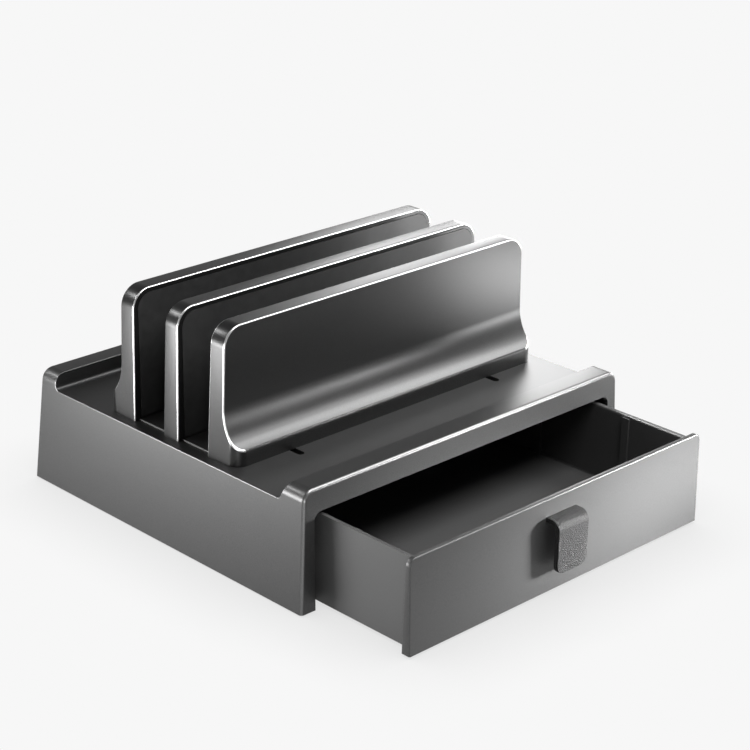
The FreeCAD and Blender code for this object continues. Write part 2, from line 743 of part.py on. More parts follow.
def build_outer_fin(name, sign):
    """Front fin with sign -1, rear fin with +1; the toe points outwards."""
    body = new_body(name)
    plan = rectangle(new_sketch(body, f"{name}_plan", "XY_Plane", shift=deck_z),
                     -fin_half, inner_y * sign, fin_half, toe_y * sign)
    pad(body, plan, size("fin_height"))
    rounded(body, f"{name}_toe_corners", lambda e: upright(e)
            and near(e.BoundBox.Center.y, toe_y * sign), size("toe_corner"))

    toe_top = deck_z + size("toe_height")
    sweep = size("toe_sweep")
    drop = sweep - size("toe_reach")
    blade_foot = toe_top + root(sweep * sweep - drop * drop)
    beyond = toe_y + size("toe_reach")
    face = outline(new_sketch(body, f"{name}_sweep", "YZ_Plane"), [
        (toe_y * sign, toe_top, sweep, -sign),
        (blade_y * sign, blade_foot),
        (blade_y * sign, fin_top + sweep),
        (beyond * sign, fin_top + sweep),
        (beyond * sign, toe_top),
    ])
    pocket(body, face, through, symmetric=True)
    lean = outline(new_sketch(body, f"{name}_lean", "YZ_Plane"), [
        (inner_y * sign, deck_z),
        ((inner_y + size("blade_lean")) * sign, fin_top),
        ((inner_y - size("blade_lean")) * sign, fin_top),
        ((inner_y - size("blade_lean")) * sign, deck_z),
    ])
    pocket(body, lean, through, symmetric=True)
    fin_ends(body, name, size("toe_reach"))
    bevelled(body, f"{name}_edges", lambda e: fin_outer_edge(e, sign), size("fin_edge"))

    low = (inner_y + size("blade_lean") + size("fin_wall")) * sign
    high = (blade_y - size("fin_wall")) * sign
    fin_core(body, name, low, high, fin_screw_y * sign)
    pad_recess(body, name, inner_y * sign, size("blade_lean"), -sign)
    return body


def fin_outer_edge(edge, sign):
    """Edges around an outer fin's face, its top and its toe's upper edge."""
    box = edge.BoundBox
    if near(box.ZMin, deck_z) and near(box.ZMax, deck_z):
        return False
    on_toe = near(box.Center.y, toe_y * sign) and box.XLength < 1 and box.YLength < 0.1
    inner_side = abs(box.Center.y) < inner_y.value + size("blade_lean").value + 0.1
    return not on_toe and not along_y(edge) and not inner_side


def build_middle_fin():
    body = new_body("middle_fin")
    thick = size("middle_base") / 2
    plan = rectangle(new_sketch(body, "middle_fin_plan", "XY_Plane", shift=deck_z),
                     -fin_half, -thick, fin_half, thick)
    pad(body, plan, size("fin_height"))
    for side, sign in (("front", -1), ("rear", 1)):
        lean = outline(new_sketch(body, f"middle_fin_{side}_lean", "YZ_Plane"), [
            (thick * sign, deck_z),
            ((thick - size("middle_lean")) * sign, fin_top),
            ((thick + size("middle_lean")) * sign, fin_top),
            ((thick + size("middle_lean")) * sign, deck_z),
        ])
        pocket(body, lean, through, symmetric=True)
    fin_ends(body, "middle_fin", size("toe_reach"))
    bevelled(body, "middle_fin_edges", lambda e: not along_y(e)
            and not near(e.BoundBox.ZMax, deck_z), size("fin_edge"))
    reach = thick - size("middle_lean") - size("fin_wall")
    fin_core(body, "middle_fin", -reach, reach, as_size(0))
    pad_recess(body, "middle_fin_front", -thick, size("middle_lean"), -1)
    pad_recess(body, "middle_fin_rear", thick, size("middle_lean"), 1)
    return body


def build_slot_pad(name, sign):
    """Strip on the deck between two fins."""
    body = new_body(name)
    half = fin_half - size("pad_margin")
    low = size("middle_base") / 2 + size("pad_gap")
    high = inner_y - size("pad_gap")
    strip = rectangle(new_sketch(body, f"{name}_strip", "XY_Plane", shift=deck_z),
                      -half, low * sign, half, high * sign)
    pad(body, strip, size("pad_thickness"))
    top = deck_z + size("pad_thickness")
    bevelled(body, f"{name}_edges", lambda e: near(e.BoundBox.ZMin, top),
             size("pad_thickness") / 3)
    return body


# Screws and inserts that hold the fins from below the deck.
def build_fin_screws(name, y):
    body = new_body(name)
    for side, sign in (("left", -1), ("right", 1)):
        sketch = new_sketch(body, f"{name}_{side}", "XZ_Plane", shift=-y,
                            move=(screw_x * sign, ceiling_z))
        outline(sketch, [
            (as_size(0), -size("screw_head_height")),
            (size("screw_head_radius"), -size("screw_head_height")),
            (size("screw_head_radius"), as_size(0)),
            (size("screw_radius"), as_size(0)),
            (size("screw_radius"), size("screw_length")),
            (as_size(0), size("screw_length")),
        ])
        turned(body, sketch)
    return body


def build_inserts(name, y):
    body = new_body(name)
    bore = size("screw_radius") + size("fit_clearance")
    for side, sign in (("left", -1), ("right", 1)):
        sketch = new_sketch(body, f"{name}_{side}", "XZ_Plane", shift=-y,
                            move=(screw_x * sign, deck_z))
        rectangle(sketch, bore, as_size(0), size("insert_radius"), size("insert_length"))
        turned(body, sketch)
    return body


def build_fin_hardware(fin, y):
    return [build_fin_screws(f"{fin}_screws", y), build_inserts(f"{fin}_inserts", y)]


# The drawer: a tray, and a separate front that leans like the housing's front.
def build_tray():
    body = new_body("drawer_tray")
    wall = size("tray_wall")
    side = outline(new_sketch(body, "tray_side", "YZ_Plane"), [
        (joint_y_at(tray_base_z), tray_base_z),
        (tray_rear_y, tray_base_z),
        (tray_rear_y, tray_top_z),
        (joint_y_at(tray_top_z), tray_top_z),
    ])
    pad(body, side, tray_half * 2, symmetric=True)
    front_wall = size("tray_front_wall")
    above = tray_top_z + wall
    inside = outline(new_sketch(body, "tray_inside", "YZ_Plane"), [
        (joint_y_at(floor_top_z) + front_wall, floor_top_z),
        (tray_rear_y - wall, floor_top_z),
        (tray_rear_y - wall, above),
        (joint_y_at(above) + front_wall, above),
    ])
    pocket(body, inside, (tray_half - wall) * 2, symmetric=True)
    floor_under = tray_base_z + size("tray_skirt")
    skirt = rectangle(new_sketch(body, "tray_underside", "XY_Plane", shift=tray_base_z),
                      wall - tray_half, joint_base_y + wall,
                      tray_half - wall, tray_rear_y - wall)
    pocket(body, skirt, size("tray_skirt"), reverse=True)
    rounded(body, "tray_floor_edges", lambda e: near(e.BoundBox.ZMin, floor_top_z)
            and near(e.BoundBox.ZMax, floor_top_z), size("tray_inner_round"))
    rounded(body, "tray_rim", lambda e: near(e.BoundBox.ZMin, tray_top_z)
            and not near(e.BoundBox.YMin, joint_y_at(tray_top_z)), size("tray_top_round"))

    inner = tray_half - wall
    for sign in (-1, 1):
        side_name = "left" if sign < 0 else "right"
        for index in range(round(sheet.get("rib_count"))):
            middle = joint_top_y + size("rib_first") + size("rib_pitch") * index
            rib = outline(
                new_sketch(body, f"{side_name}_rib_{index + 1}", "XY_Plane", shift=floor_under), [
                    ((inner - size("rib_proud")) * sign, middle - size("rib_width") / 2),
                    ((inner + wall / 3) * sign, middle - size("rib_width") / 2),
                    ((inner + wall / 3) * sign, middle + size("rib_width") / 2),
                    ((inner - size("rib_proud")) * sign, middle + size("rib_width") / 2),
                ])
            pad(body, rib, tray_top_z - size("tray_top_round") - floor_under)
        rail_front = tray_rear_y - size("rail_length")
        rail = outline(new_sketch(body, f"{side_name}_rail", "XZ_Plane", shift=-rail_front), [
            ((tray_half - wall / 2) * sign, rail_z - size("rail_height") / 2),
            (rail_x * sign, rail_z - size("rail_height") / 2),
            (rail_x * sign, rail_z + size("rail_height") / 2),
            ((tray_half - wall / 2) * sign, rail_z + size("rail_height") / 2),
        ])
        pad(body, rail, size("rail_length"), reverse=True)

    window = rectangle(joint_sketch(body, "tail_window"),
                       pull_x - size("pull_width") / 2 - size("pull_slit_gap"),
                       tail_low - size("pull_slit_gap"),
                       pull_x + size("pull_width") / 2 + size("pull_slit_gap"),
                       tail_high + size("pull_slit_gap"))
    pocket(body, window, front_wall * 2)
    bore = size("small_screw_radius") + size("fit_clearance")
    for index, (x, level) in enumerate(clamp_screw_places() + panel_screw_places()):
        hole = circle(joint_sketch(body, f"tray_front_hole_{index + 1}"), x, level, bore)
        pocket(body, hole, front_wall * 2)
    return body


# The joint plane between panel and tray leans; its sketches measure up from its lower edge.
joint_slope = size("panel_rear_lean") / (panel_top_z - panel_base_z)
joint_tilt = f"atan({joint_slope.text})"
joint_cos = as_size(1) / root(as_size(1) + joint_slope * joint_slope)
joint_sin = joint_slope * joint_cos
pull_x = size("pull_offset")
tail_high = panel_top_z - panel_base_z - size("pull_top_gap")
tail_low = tail_high - size("tail_drop")


def joint_sketch(body, name, behind=as_size(0)):
    """A sketch on the joint plane, or a distance behind it towards the tray."""
    return new_sketch(body, name, "XZ_Plane", shift=-joint_base_y - behind * joint_cos,
                      move=(as_size(0), panel_base_z + behind * joint_sin), tilt=joint_tilt)


def clamp_screw_places():
    level = (tail_low + tail_high) / 2 - size("pull_thickness") / 2
    offset = (size("clamp_width") + size("pull_width")) / 4
    return [(pull_x - offset, level), (pull_x + offset, level)]


def panel_screw_places():
    """Screws through the tray's front wall into the thick lower part of the panel."""
    level = floor_top_z - panel_base_z + size("panel_screw_rise")
    outer = tray_half - size("panel_screw_inset")
    return [(-outer, level), (outer, level)]


def build_panel():
    body = new_body("drawer_front")
    face_lean = size("front_flare") * panel_share
    side = outline(new_sketch(body, "panel_side", "YZ_Plane"), [
        (panel_face_y - face_lean, panel_base_z),
        (joint_base_y, panel_base_z),
        (joint_top_y, panel_top_z),
        (panel_face_y, panel_top_z),
    ])
    pad(body, side, panel_half * 2, symmetric=True)
    rounded(body, "panel_corners", lambda e: along_y(e) and near(e.BoundBox.ZMax, panel_top_z)
            and near(abs(e.BoundBox.Center.x), panel_half), size("panel_corner"))
    bevelled(body, "panel_edges", lambda e: not along_y(e)
             and not near(e.BoundBox.ZMax, panel_base_z), size("panel_edge"))

    gap = size("pull_slit_gap")
    slit = rectangle(joint_sketch(body, "pull_slit"),
                     pull_x - size("pull_width") / 2 - gap,
                     tail_high - size("pull_thickness") - gap,
                     pull_x + size("pull_width") / 2 + gap,
                     tail_high + gap)
    pocket(body, slit, size("pull_standoff"), reverse=True)
    recess = rectangle(joint_sketch(body, "tail_recess"),
                       pull_x - size("pull_width") / 2 - gap, tail_low - gap,
                       pull_x + size("pull_width") / 2 + gap, tail_high + gap)
    pocket(body, recess, size("pull_thickness") - size("tray_front_wall"), reverse=True)
    bore = size("small_screw_radius") + size("fit_clearance")
    places = clamp_screw_places() + panel_screw_places()
    for index, (x, level) in enumerate(places):
        hole = circle(joint_sketch(body, f"panel_hole_{index + 1}"), x, level, bore)
        pocket(body, hole, size("panel_top_thickness") - gap, reverse=True)
    return body


def build_clamp_plate():
    body = new_body("tab_clamp_plate")
    half = size("clamp_width") / 2
    middle = clamp_screw_places()[0][1]
    sketch = joint_sketch(body, "clamp_outline", behind=size("tray_front_wall"))
    rectangle(sketch, pull_x - half, middle - size("clamp_height") / 2,
              pull_x + half, middle + size("clamp_height") / 2)
    pad(body, sketch, size("clamp_thickness"), reverse=True)
    bore = size("small_screw_radius") + size("fit_clearance")
    for index, (x, level) in enumerate(clamp_screw_places()):
        hole = circle(joint_sketch(body, f"clamp_hole_{index + 1}"), x, level, bore)
        pocket(body, hole, size("pull_standoff"), symmetric=True)
    return body


def build_joint_screws(name, places, seat):
    """Screws across the joint plane, their heads inside the tray, seat above the plane."""
    body = new_body(name)
    length = size("panel_top_thickness") - size("pull_slit_gap") * 2 + seat
    for index, (x, level) in enumerate(places):
        shaft = circle(joint_sketch(body, f"{name}_shaft_{index + 1}", behind=seat),
                       x, level, size("small_screw_radius"))
        pad(body, shaft, length)
        cap = circle(joint_sketch(body, f"{name}_cap_{index + 1}", behind=seat),
                     x, level, size("small_head_radius"))
        pad(body, cap, size("small_head_height"), reverse=True)
    return body


def build_pull():
    """Folded leather strap: a tail behind the panel, a fold over the slit, a hanging grip."""
    body = new_body("pull_tab")
    thick = size("pull_thickness")
    top = panel_top_z - size("pull_top_gap")
    out_y = outline_front_y
    bend = size("pull_bend")
    low = top - size("pull_drop")
    tail_y = joint_y_at(top) + size("tray_front_wall") - size("pull_slit_gap")
    strap = outline(new_sketch(body, "pull_side", "YZ_Plane", shift=pull_x), [
        (tail_y, top - thick),
        (tail_y, top),
        (out_y + bend, top, bend, 1),
        (out_y, top - bend),
        (out_y, low),
        (out_y + thick, low),
        (out_y + thick, top - bend, bend - thick, -1),
        (out_y + bend, top - thick),
    ])
    pad(body, strap, size("pull_width"), symmetric=True)
    rounded(body, "pull_corners", lambda e: along_y(e) and near(e.BoundBox.ZMin, low),
            size("pull_corner"))
    return body


def build_tail():
    """Tail of the strap, flat in the panel's recess."""
    body = doc.getObject("pull_tab")
    tail = rectangle(joint_sketch(body, "pull_tail", behind=size("tray_front_wall")),
                     pull_x - size("pull_width") / 2, tail_low,
                     pull_x + size("pull_width") / 2, tail_high - size("pull_thickness") / 2)
    pad(body, tail, size("pull_thickness"))
    return body


def build_all():
    pieces = [build_housing(), build_feet()]
    for name, sign in (("left_runner", -1), ("right_runner", 1)):
        pieces.append(build_runner(name, sign))
    pieces.append(build_middle_fin())
    pieces.extend(build_fin_hardware("middle_fin", as_size(0)))
    for name, sign in (("front_fin", -1), ("rear_fin", 1)):
        pieces.append(build_outer_fin(name, sign))
        pieces.extend(build_fin_hardware(name, fin_screw_y * sign))
        pieces.append(build_face_pad(f"{name}_pad", inner_y * sign, size("blade_lean"), -sign))
    half = size("middle_base") / 2
    pieces.append(build_face_pad("middle_fin_front_pad", -half, size("middle_lean"), -1))
    pieces.append(build_face_pad("middle_fin_rear_pad", half, size("middle_lean"), 1))
    pieces.append(build_slot_pad("front_slot_pad", -1))
    pieces.append(build_slot_pad("rear_slot_pad", 1))
    pieces.append(build_tray())
    pieces.append(build_panel())
    build_pull()
    pieces.append(build_tail())
    pieces.append(build_clamp_plate())
    wall = size("tray_front_wall")
    pieces.append(build_joint_screws("drawer_front_screws", panel_screw_places(), wall))
    pieces.append(build_joint_screws("tab_screws", clamp_screw_places(),
                                     wall + size("clamp_thickness")))
    return pieces


def check(pieces):
    for item in doc.Objects:
        if "Invalid" in item.State or "Error" in item.State:
            raise RuntimeError(f"{item.Name} failed: {item.State}")
    for piece in pieces:
        if piece.Shape.isNull() or not piece.Shape.isValid():
            raise RuntimeError(f"{piece.Label} has no valid shape")


def write(pieces):
    os.makedirs("parts", exist_ok=True)
    for piece in pieces:
        piece.Shape.exportStep(os.path.join("parts", f"{piece.Label}.step"))
        box = piece.Shape.BoundBox
        print(f"{piece.Label:24} solids {len(piece.Shape.Solids)} volume {piece.Shape.Volume:10.1f} "
              f"x {box.XMin:.1f} {box.XMax:.1f} y {box.YMin:.1f} {box.YMax:.1f} "
              f"z {box.ZMin:.1f} {box.ZMax:.1f}")


pieces = build_all()
for piece in pieces:
    piece.setExpression(".Placement.Base.y", frame_shift.text)
doc.recompute()
check(pieces)
write(pieces)
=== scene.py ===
# %% [markdown]
# A vertical laptop stand with a drawer: a dark grey plastic housing, three upright fins, a
# drawer with its own front, and a folded leather pull. The solids come packed as a fixed
# frame. This lesson dresses them: smooth edges, real finishes, a pale studio and a camera.
# The frame is loaded first. No piece may grow out of it.

# %% load the frame
import bpy
import bmesh
import json
import math
from mathutils import Matrix, Vector

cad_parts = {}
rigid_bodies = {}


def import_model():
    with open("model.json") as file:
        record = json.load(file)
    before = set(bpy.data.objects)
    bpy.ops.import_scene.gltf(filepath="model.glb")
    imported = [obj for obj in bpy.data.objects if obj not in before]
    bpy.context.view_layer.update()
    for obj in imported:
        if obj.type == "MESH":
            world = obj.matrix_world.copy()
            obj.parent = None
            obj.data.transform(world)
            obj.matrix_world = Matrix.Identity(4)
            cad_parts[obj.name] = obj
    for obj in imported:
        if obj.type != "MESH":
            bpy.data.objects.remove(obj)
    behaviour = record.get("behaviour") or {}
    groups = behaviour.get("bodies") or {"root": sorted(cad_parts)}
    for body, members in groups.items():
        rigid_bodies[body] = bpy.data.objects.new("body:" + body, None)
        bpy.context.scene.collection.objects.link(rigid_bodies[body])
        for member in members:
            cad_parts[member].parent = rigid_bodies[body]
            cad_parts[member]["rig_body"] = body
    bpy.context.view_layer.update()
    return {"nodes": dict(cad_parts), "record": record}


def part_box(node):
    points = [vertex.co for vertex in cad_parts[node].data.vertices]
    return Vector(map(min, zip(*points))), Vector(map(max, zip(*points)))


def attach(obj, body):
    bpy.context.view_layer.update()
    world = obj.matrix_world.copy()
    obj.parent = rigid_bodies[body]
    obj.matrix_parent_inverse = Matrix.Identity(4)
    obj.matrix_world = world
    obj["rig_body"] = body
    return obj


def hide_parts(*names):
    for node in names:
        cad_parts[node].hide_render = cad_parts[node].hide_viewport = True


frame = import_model()
nodes = frame["nodes"]
slot_of = {row["node"]: row["material_slot"] for row in frame["record"]["subparts"]}
MM = 0.001


# %% [markdown]
# Colours are picked on screen as sRGB hex values, but a renderer adds and multiplies light
# in linear values. One function turns the first into the second, so that every colour
# below can be written as it is seen.

# %% colours
def linear(hex_colour):
    """sRGB hex text to linear red, green, blue and alpha."""
    channels = [int(hex_colour[i:i + 2], 16) / 255 for i in (1, 3, 5)]
    return [c / 12.92 if c <= 0.04045 else ((c + 0.055) / 1.055) ** 2.4 for c in channels] + [1.0]


print("mid grey on screen is", round(linear("#808080")[0], 3), "in light")


# %% [markdown]
# A material is a small graph. One helper adds a node, sets its values and joins it to the
# nodes before it, so each finish reads as a list of what it is made of. The same helper
# serves the world, which is a graph of the same kind. A colour ramp also gets its tones,
# each with the value of the pattern at which it stands.

# %% a helper for every graph
NOISE_LOW, NOISE_HIGH = 0.3, 0.7    # nearly all of a noise pattern lies between these values


def add(tree, kind, settings=None, tones=(), **links):
    """Adds a node with its settings, its tones if it is a ramp, and its links.

    A setting has the name of a property or a socket, or a socket's number. A link has the
    name of its socket, with _ for a space, or i0, i1 or i2 for the socket's number.
    """
    node = tree.nodes.new(kind)
    for name, value in (settings or {}).items():
        if isinstance(name, str) and hasattr(node, name):
            setattr(node, name, value)
        else:
            node.inputs[name].default_value = value
    for number, (place, colour) in enumerate(tones):
        node.color_ramp.elements[number].position = place
        node.color_ramp.elements[number].color = linear(colour)
    for name, source in links.items():
        socket = int(name[1:]) if name[1:].isdigit() else name.replace("_", " ")
        tree.links.new(source, node.inputs[socket])
    return node


def new_material(name):
    material = bpy.data.materials.new(name)
    material.use_nodes = True
    material.node_tree.nodes.clear()
    return material


def finish_with(material, shader):
    add(material.node_tree, "ShaderNodeOutputMaterial", Surface=shader.outputs[0])
    print("finish", material.name, "of", len(material.node_tree.nodes), "nodes")
    return material


# %% [markdown]
# The housing, the fins and the drawer are moulded ABS under a satin metallic grey lacquer.
# It could be a plain plastic with a highlight, but the real one glitters faintly and its
# brightness swings from nearly black to silver with the light. So the flakes are a metallic
# base whose tone and roughness change from grain to grain, and a shallow orange peel lies
# over them. The flakes are drawn at 0.5 mm, coarser than real ones, so that they show.

# %% satin metallic lacquer on ABS
def satin_lacquer(name, dark, light, roughness, metallic, flake_mm=0.5, peel_mm=1.8):
    material = new_material(name)
    tree = material.node_tree
    place = add(tree, "ShaderNodeTexCoord").outputs["Object"]
    flakes = add(tree, "ShaderNodeTexNoise",
                 {"Scale": 1 / (flake_mm * MM), "Detail": 3.0, "Roughness": 0.65}, Vector=place)
    gloss = add(tree, "ShaderNodeMapRange",
                {"From Min": NOISE_LOW, "From Max": NOISE_HIGH, "To Min": roughness - 0.04,
                 "To Max": roughness + 0.05}, Value=flakes.outputs["Fac"])
    skin = add(tree, "ShaderNodeTexNoise", {"Scale": 1 / (peel_mm * MM), "Detail": 2.0},
               Vector=place)
    relief = add(tree, "ShaderNodeMath", {"operation": "MULTIPLY_ADD", 1: 0.5},
                 i0=flakes.outputs["Fac"], i2=skin.outputs["Fac"])
    bump = add(tree, "ShaderNodeBump", {"Strength": 0.1, "Distance": 0.03 * MM},
               Height=relief.outputs["Value"])
    colour = add(tree, "ShaderNodeValToRGB", tones=((NOISE_LOW, dark), (NOISE_HIGH, light)),
                 Fac=flakes.outputs["Fac"])
    shader = add(tree, "ShaderNodeBsdfPrincipled",
                 {"Metallic": metallic, "IOR": 1.5, "Coat Weight": 0.12, "Coat Roughness": 0.3},
                 Base_Color=colour.outputs["Color"], Roughness=gloss.outputs["Result"],
                 Normal=bump.outputs["Normal"])
    return finish_with(material, shader)


finishes = {
    "housing_plastic": satin_lacquer("satin_grey_lacquer", "#353535", "#434343", 0.4, 0.85),
    "fin_plastic": satin_lacquer("satin_grey_fin_lacquer", "#232323", "#2f2f2f", 0.32, 0.88),
    "front_plastic": satin_lacquer("satin_grey_front_lacquer", "#383838", "#464646", 0.46, 0.85),
    "drawer_plastic": satin_lacquer("satin_grey_tray_lacquer", "#2c2c2c", "#383838", 0.5, 0.2),
}


# %% [markdown]
# The bevels get the same lacquer in a lighter tone, a painted highlight, so that they show as
# fine bright lines whatever the lamps do. It lies on the bevel faces alone: a bright tone on the
# fins, whose edges shine the most, and a darker one elsewhere.

# %% painted highlights on the bevels
# Lighter lacquer for the bevel faces: painted highlight lines, bright on the fins, darker
# elsewhere.
fin_highlight_paint = satin_lacquer("painted_highlight_fin_lacquer", "#a4a4a4", "#bababa", 0.3, 0.95)
edge_highlight_paint = satin_lacquer("painted_highlight_edge_lacquer", "#505050", "#606060", 0.36, 0.9)


# %% [markdown]
# The runners inside the housing are black nylon straight from the mould. It has no lacquer,
# so the eye sees a soft, broad sheen and the fine grain of the eroded mould, 0.6 mm wide.

# %% bare moulded nylon
def moulded_plastic(name, dark, light, roughness, grain_mm=0.6):
    material = new_material(name)
    tree = material.node_tree
    place = add(tree, "ShaderNodeTexCoord").outputs["Object"]
    grain = add(tree, "ShaderNodeTexNoise",
                {"Scale": 1 / (grain_mm * MM), "Detail": 4.0, "Roughness": 0.65}, Vector=place)
    bump = add(tree, "ShaderNodeBump", {"Strength": 0.12, "Distance": 0.05 * MM},
               Height=grain.outputs["Fac"])
    colour = add(tree, "ShaderNodeValToRGB", tones=((NOISE_LOW, dark), (NOISE_HIGH, light)),
                 Fac=grain.outputs["Fac"])
    shader = add(tree, "ShaderNodeBsdfPrincipled", {"Roughness": roughness, "IOR": 1.53},
                 Base_Color=colour.outputs["Color"], Normal=bump.outputs["Normal"])
    return finish_with(material, shader)


finishes["runner_plastic"] = moulded_plastic("black_moulded_nylon", "#171717", "#202020", 0.45)


# %% [markdown]
# The hardware is small and mostly hidden: screws of black oxide steel and of zinc plated
# steel, turned brass inserts and a painted clamp plate. A metal keeps the default IOR. The
# 0.25 mm marks that turning leaves around the upright screws and inserts could be rings in
# the mesh, but noise that is stretched five times sideways gives them without a single face.

# %% turned metals
def turned_metal(name, dark, light, roughness, mark_mm=0.25):
    material = new_material(name)
    tree = material.node_tree
    place = add(tree, "ShaderNodeTexCoord").outputs["Object"]
    around = add(tree, "ShaderNodeMapping", {"Scale": (0.2, 0.2, 1.0)}, Vector=place)
    marks = add(tree, "ShaderNodeTexNoise", {"Scale": 1 / (mark_mm * MM), "Detail": 3.0},
                Vector=around.outputs["Vector"])
    gloss = add(tree, "ShaderNodeMapRange",
                {"To Min": roughness - 0.08, "To Max": roughness + 0.1},
                Value=marks.outputs["Fac"])
    colour = add(tree, "ShaderNodeValToRGB", tones=((NOISE_LOW, dark), (NOISE_HIGH, light)),
                 Fac=marks.outputs["Fac"])
    shader = add(tree, "ShaderNodeBsdfPrincipled", {"Metallic": 1.0},
                 Base_Color=colour.outputs["Color"], Roughness=gloss.outputs["Result"])
    return finish_with(material, shader)


finishes["black_steel"] = turned_metal("black_oxide_steel", "#262628", "#323234", 0.42)
finishes["zinc_steel"] = turned_metal("zinc_plated_steel", "#acb0b4", "#c4c7ca", 0.32)
finishes["insert_brass"] = turned_metal("turned_brass", "#bb8d40", "#d2a556", 0.3)
finishes["plate_steel"] = turned_metal("black_painted_steel", "#303032", "#3a3a3c", 0.5)


# %% [markdown]
# Silicone and rubber are nearly black and matt. What keeps them from looking like paint is
# a dusty bloom, a slightly lighter cloud a few millimetres wide, so that is all they get.

# %% silicone and rubber
def matt_rubber(name, dark, light, roughness, bloom_mm=5.0):
    material = new_material(name)
    tree = material.node_tree
    place = add(tree, "ShaderNodeTexCoord").outputs["Object"]
    bloom = add(tree, "ShaderNodeTexNoise", {"Scale": 1 / (bloom_mm * MM), "Detail": 7.0},
                Vector=place)
    colour = add(tree, "ShaderNodeValToRGB", tones=((NOISE_LOW, dark), (NOISE_HIGH, light)),
                 Fac=bloom.outputs["Fac"])
    shader = add(tree, "ShaderNodeBsdfPrincipled", {"Roughness": roughness, "IOR": 1.42},
                 Base_Color=colour.outputs["Color"])
    return finish_with(material, shader)


finishes["silicone"] = matt_rubber("black_silicone", "#0e0e0e", "#161616", 0.5)
finishes["foot_rubber"] = matt_rubber("black_rubber_foot", "#151515", "#1f1f1f", 0.8)


# %% [markdown]
# The pull is black leather with a pebbled grain. Each pebble is a cell 1 mm wide with a
# crease around it, and its top is worn a little lighter. A cell pattern gives the pebbles,
# fine noise breaks them up, and both go into the relief as well as the colour.

# %% grained leather
def grained_leather(name, dark, light, pebble_mm=1.0, pore_mm=0.4, crease_mm=0.27):
    material = new_material(name)
    tree = material.node_tree
    place = add(tree, "ShaderNodeTexCoord").outputs["Object"]
    pebbles = add(tree, "ShaderNodeTexVoronoi",
                  {"feature": "DISTANCE_TO_EDGE", "Scale": 1 / (pebble_mm * MM)}, Vector=place)
    tops = add(tree, "ShaderNodeMapRange", {"From Max": 0.25}, Value=pebbles.outputs["Distance"])
    pores = add(tree, "ShaderNodeTexNoise", {"Scale": 1 / (pore_mm * MM), "Detail": 5.0},
                Vector=place)
    relief = add(tree, "ShaderNodeMath", {"operation": "MULTIPLY_ADD", 1: 0.55},
                 i0=tops.outputs["Result"], i2=pores.outputs["Fac"])
    wear = add(tree, "ShaderNodeMath", {"operation": "MULTIPLY", 1: 0.65},
               i0=relief.outputs["Value"])
    bump = add(tree, "ShaderNodeBump", {"Strength": 0.85, "Distance": crease_mm * MM},
               Height=relief.outputs["Value"])
    colour = add(tree, "ShaderNodeValToRGB", tones=((0.42, dark), (0.72, light)),
                 Fac=wear.outputs["Value"])
    shader = add(tree, "ShaderNodeBsdfPrincipled",
                 {"Roughness": 0.5, "IOR": 1.48, "Specular IOR Level": 0.2},
                 Base_Color=colour.outputs["Color"], Normal=bump.outputs["Normal"])
    return finish_with(material, shader)


finishes["tab_leather"] = grained_leather("black_grained_leather", "#040404", "#1c1c1c")


# %% [markdown]
# Two details of the mouldings are looked for in their meshes. The fine bright line around an
# outer fin's inner face comes from a small rounding and from the painted highlight on it, so the
# edges of that outline are found here and rounded later. The solids' own bevels get a lighter
# lacquer, a painted highlight. They could be picked by hand, but there are over a thousand faces,
# so a rule finds them: a bevel is narrow and leans between two main directions. The facets of the
# fins' sweep and of their round toe corners do so too, and are left out by where they lie and how
# long they are. Those limits are this stand's own heights and lengths, so they change with its
# sizes.

# %% finding outlines and bevels
# Each bevelled piece with the lighter lacquer of its painted highlight.
BEVELLED = {"base_housing": edge_highlight_paint, "drawer_tray": edge_highlight_paint, "front_fin": fin_highlight_paint,
            "middle_fin": fin_highlight_paint, "rear_fin": fin_highlight_paint}
SHARP = math.radians(50)
BEVEL_WIDTH = 1.6 * MM
LONG_UPRIGHT = 30 * MM
LONG_SIDE = 60 * MM
TOE_TOP = 88 * MM
TOP_BAND = 3 * MM
MAIN_FACE = 0.95      # a normal with a part this large belongs to a main face, not to a bevel
INNER_FACE = 0.9      # a fin's inner face leans a little, so this is less strict
NO_LEAN = 0.1         # a normal's part below this is taken as none
SIDE_LEAN = 0.3       # an upright bevel turns at least this far to the side
FRONT_LEAN = 0.2      # and a bevel at a corner of the outline this far to the front or back
LOOKS_DOWN = -0.2     # a face that looks further down than this keeps the plain lacquer
UNDERSIDE = -0.5      # the rounding leaves out the foot of the fin, which stands on the deck


def node_middle(node):
    low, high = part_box(node)
    return (Vector(low) + Vector(high)) / 2


def inner_outline(work):
    """Sharp convex edges between a fin's inner face and its ends or top."""
    middle = sum((vertex.co for vertex in work.verts), Vector()) / len(work.verts)
    inward = -1 if middle.y > node_middle("middle_fin").y else 1
    chosen = []
    for edge in work.edges:
        if len(edge.link_faces) != 2 or edge.calc_face_angle() < SHARP:
            continue
        side, inner = sorted(edge.link_faces, key=lambda face: face.normal.y * inward)
        way_out = (edge.verts[0].co + edge.verts[1].co) / 2 - middle
        outward = way_out.x * side.normal.x + way_out.z * side.normal.z
        if inner.normal.y * inward > INNER_FACE and outward > 0 and side.normal.z > UNDERSIDE:
            chosen.append(edge)
    return chosen


def is_bevel(face, top):
    """A narrow face that leans between two main directions."""
    longest = max(edge.calc_length() for edge in face.edges)
    x, y, z = (abs(part) for part in face.normal)
    height = face.calc_center_median().z
    if face.calc_area() / longest > BEVEL_WIDTH:
        return False
    if max(x, y, z) > MAIN_FACE or face.normal.z < LOOKS_DOWN:
        return False
    if z < NO_LEAN:
        return x > SIDE_LEAN and (longest > LONG_UPRIGHT or height > TOE_TOP)
    if x < NO_LEAN:
        return height > top - TOP_BAND
    return y > FRONT_LEAN or longest > LONG_SIDE


print("bevels up to", round(BEVEL_WIDTH / MM, 1), "mm are looked for on", ", ".join(BEVELLED))


# %% [markdown]
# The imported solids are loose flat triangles, and left like that every small roundness
# shows its facets. So the triangles are merged, the coplanar ones are dissolved and the
# rest is shaded smooth, but not across sharp corners. A subdivided mesh would be smoother
# still, but it would pull the crisp edges of a moulding out of shape.

